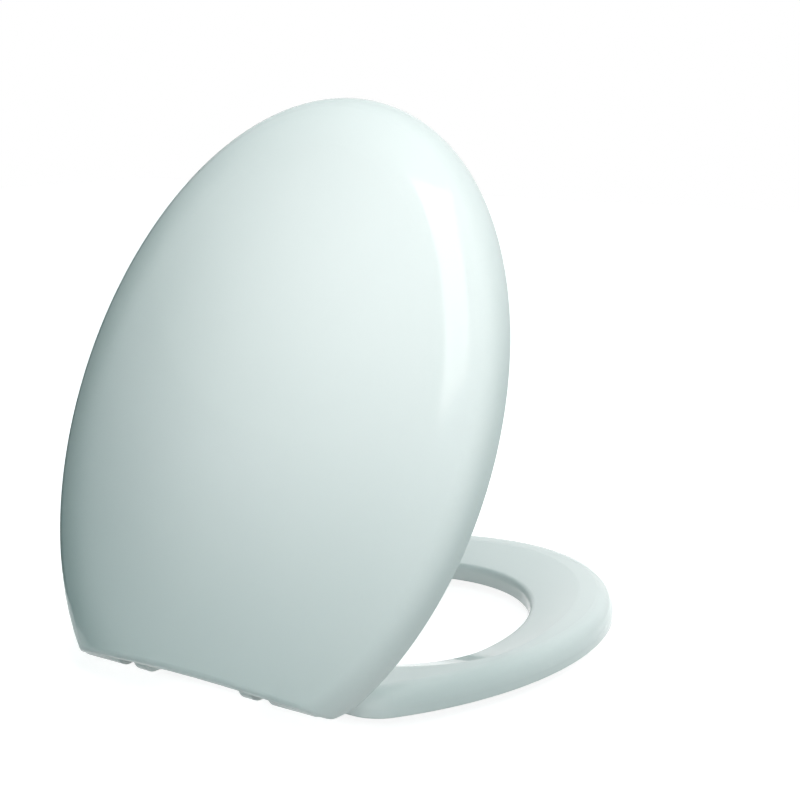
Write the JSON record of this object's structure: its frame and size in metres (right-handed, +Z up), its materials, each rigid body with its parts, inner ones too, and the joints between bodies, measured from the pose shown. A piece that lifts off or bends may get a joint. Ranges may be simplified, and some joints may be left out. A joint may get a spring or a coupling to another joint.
{
  "type": "toilet seat",
  "caption": "Soft-close toilet seat: egg-shaped ring on rubber buffers under a domed wrap-over lid that stands part-way open on a rear hinge",
  "frame": {"origin": "on the bowl's top face, midway between the two hinge hubs and under the hinge axis", "axes": "+X along the hinge axis, to the right of someone who faces the bowl from the front; the seat's front points to -Y; +Z up"},
  "size_m": [0.364, 0.417, 0.3963],
  "materials": {
    "seat_plastic": "gloss",
    "buffer_rubber": "matte",
    "seal_rubber": "matte",
    "damper_plastic": "satin",
    "bush_plastic": "satin",
    "hub_plastic": "satin",
    "pin_steel": "brushed"
  },
  "bodies": {
    "hinge_base": {"hinge_hub_right": "hub_plastic", "hinge_hub_left": "hub_plastic", "lid_damper_rotor": "damper_plastic", "ring_damper_rotor": "damper_plastic", "lid_pivot_pin": "pin_steel", "ring_pivot_pin": "pin_steel"},
    "ring": {"seat_ring": "seat_plastic", "ring_buffer_rear_right": "buffer_rubber", "ring_buffer_front_right": "buffer_rubber", "ring_buffer_rear_left": "buffer_rubber", "ring_buffer_front_left": "buffer_rubber", "ring_damper_housing": "damper_plastic", "ring_damper_cap": "damper_plastic", "ring_damper_seal": "seal_rubber", "ring_pivot_bush": "bush_plastic"},
    "lid": {"lid": "seat_plastic", "lid_buffer_rear_right": "buffer_rubber", "lid_buffer_front_right": "buffer_rubber", "lid_buffer_rear_left": "buffer_rubber", "lid_buffer_front_left": "buffer_rubber", "lid_damper_housing": "damper_plastic", "lid_damper_cap": "damper_plastic", "lid_damper_seal": "seal_rubber", "lid_pivot_bush": "bush_plastic"}
  },
  "joints": [
    {"name": "ring_hinge", "type": "hinge", "parent": "hinge_base", "child": "ring", "pos_m": [0, 0, 0.023], "axis": [-1, 0, 0], "range_deg": [0, 95]},
    {"name": "lid_hinge", "type": "hinge", "parent": "ring", "child": "lid", "pos_m": [0, 0, 0.023], "axis": [-1, 0, 0], "range_deg": [-67.4, 40]}
  ]
}
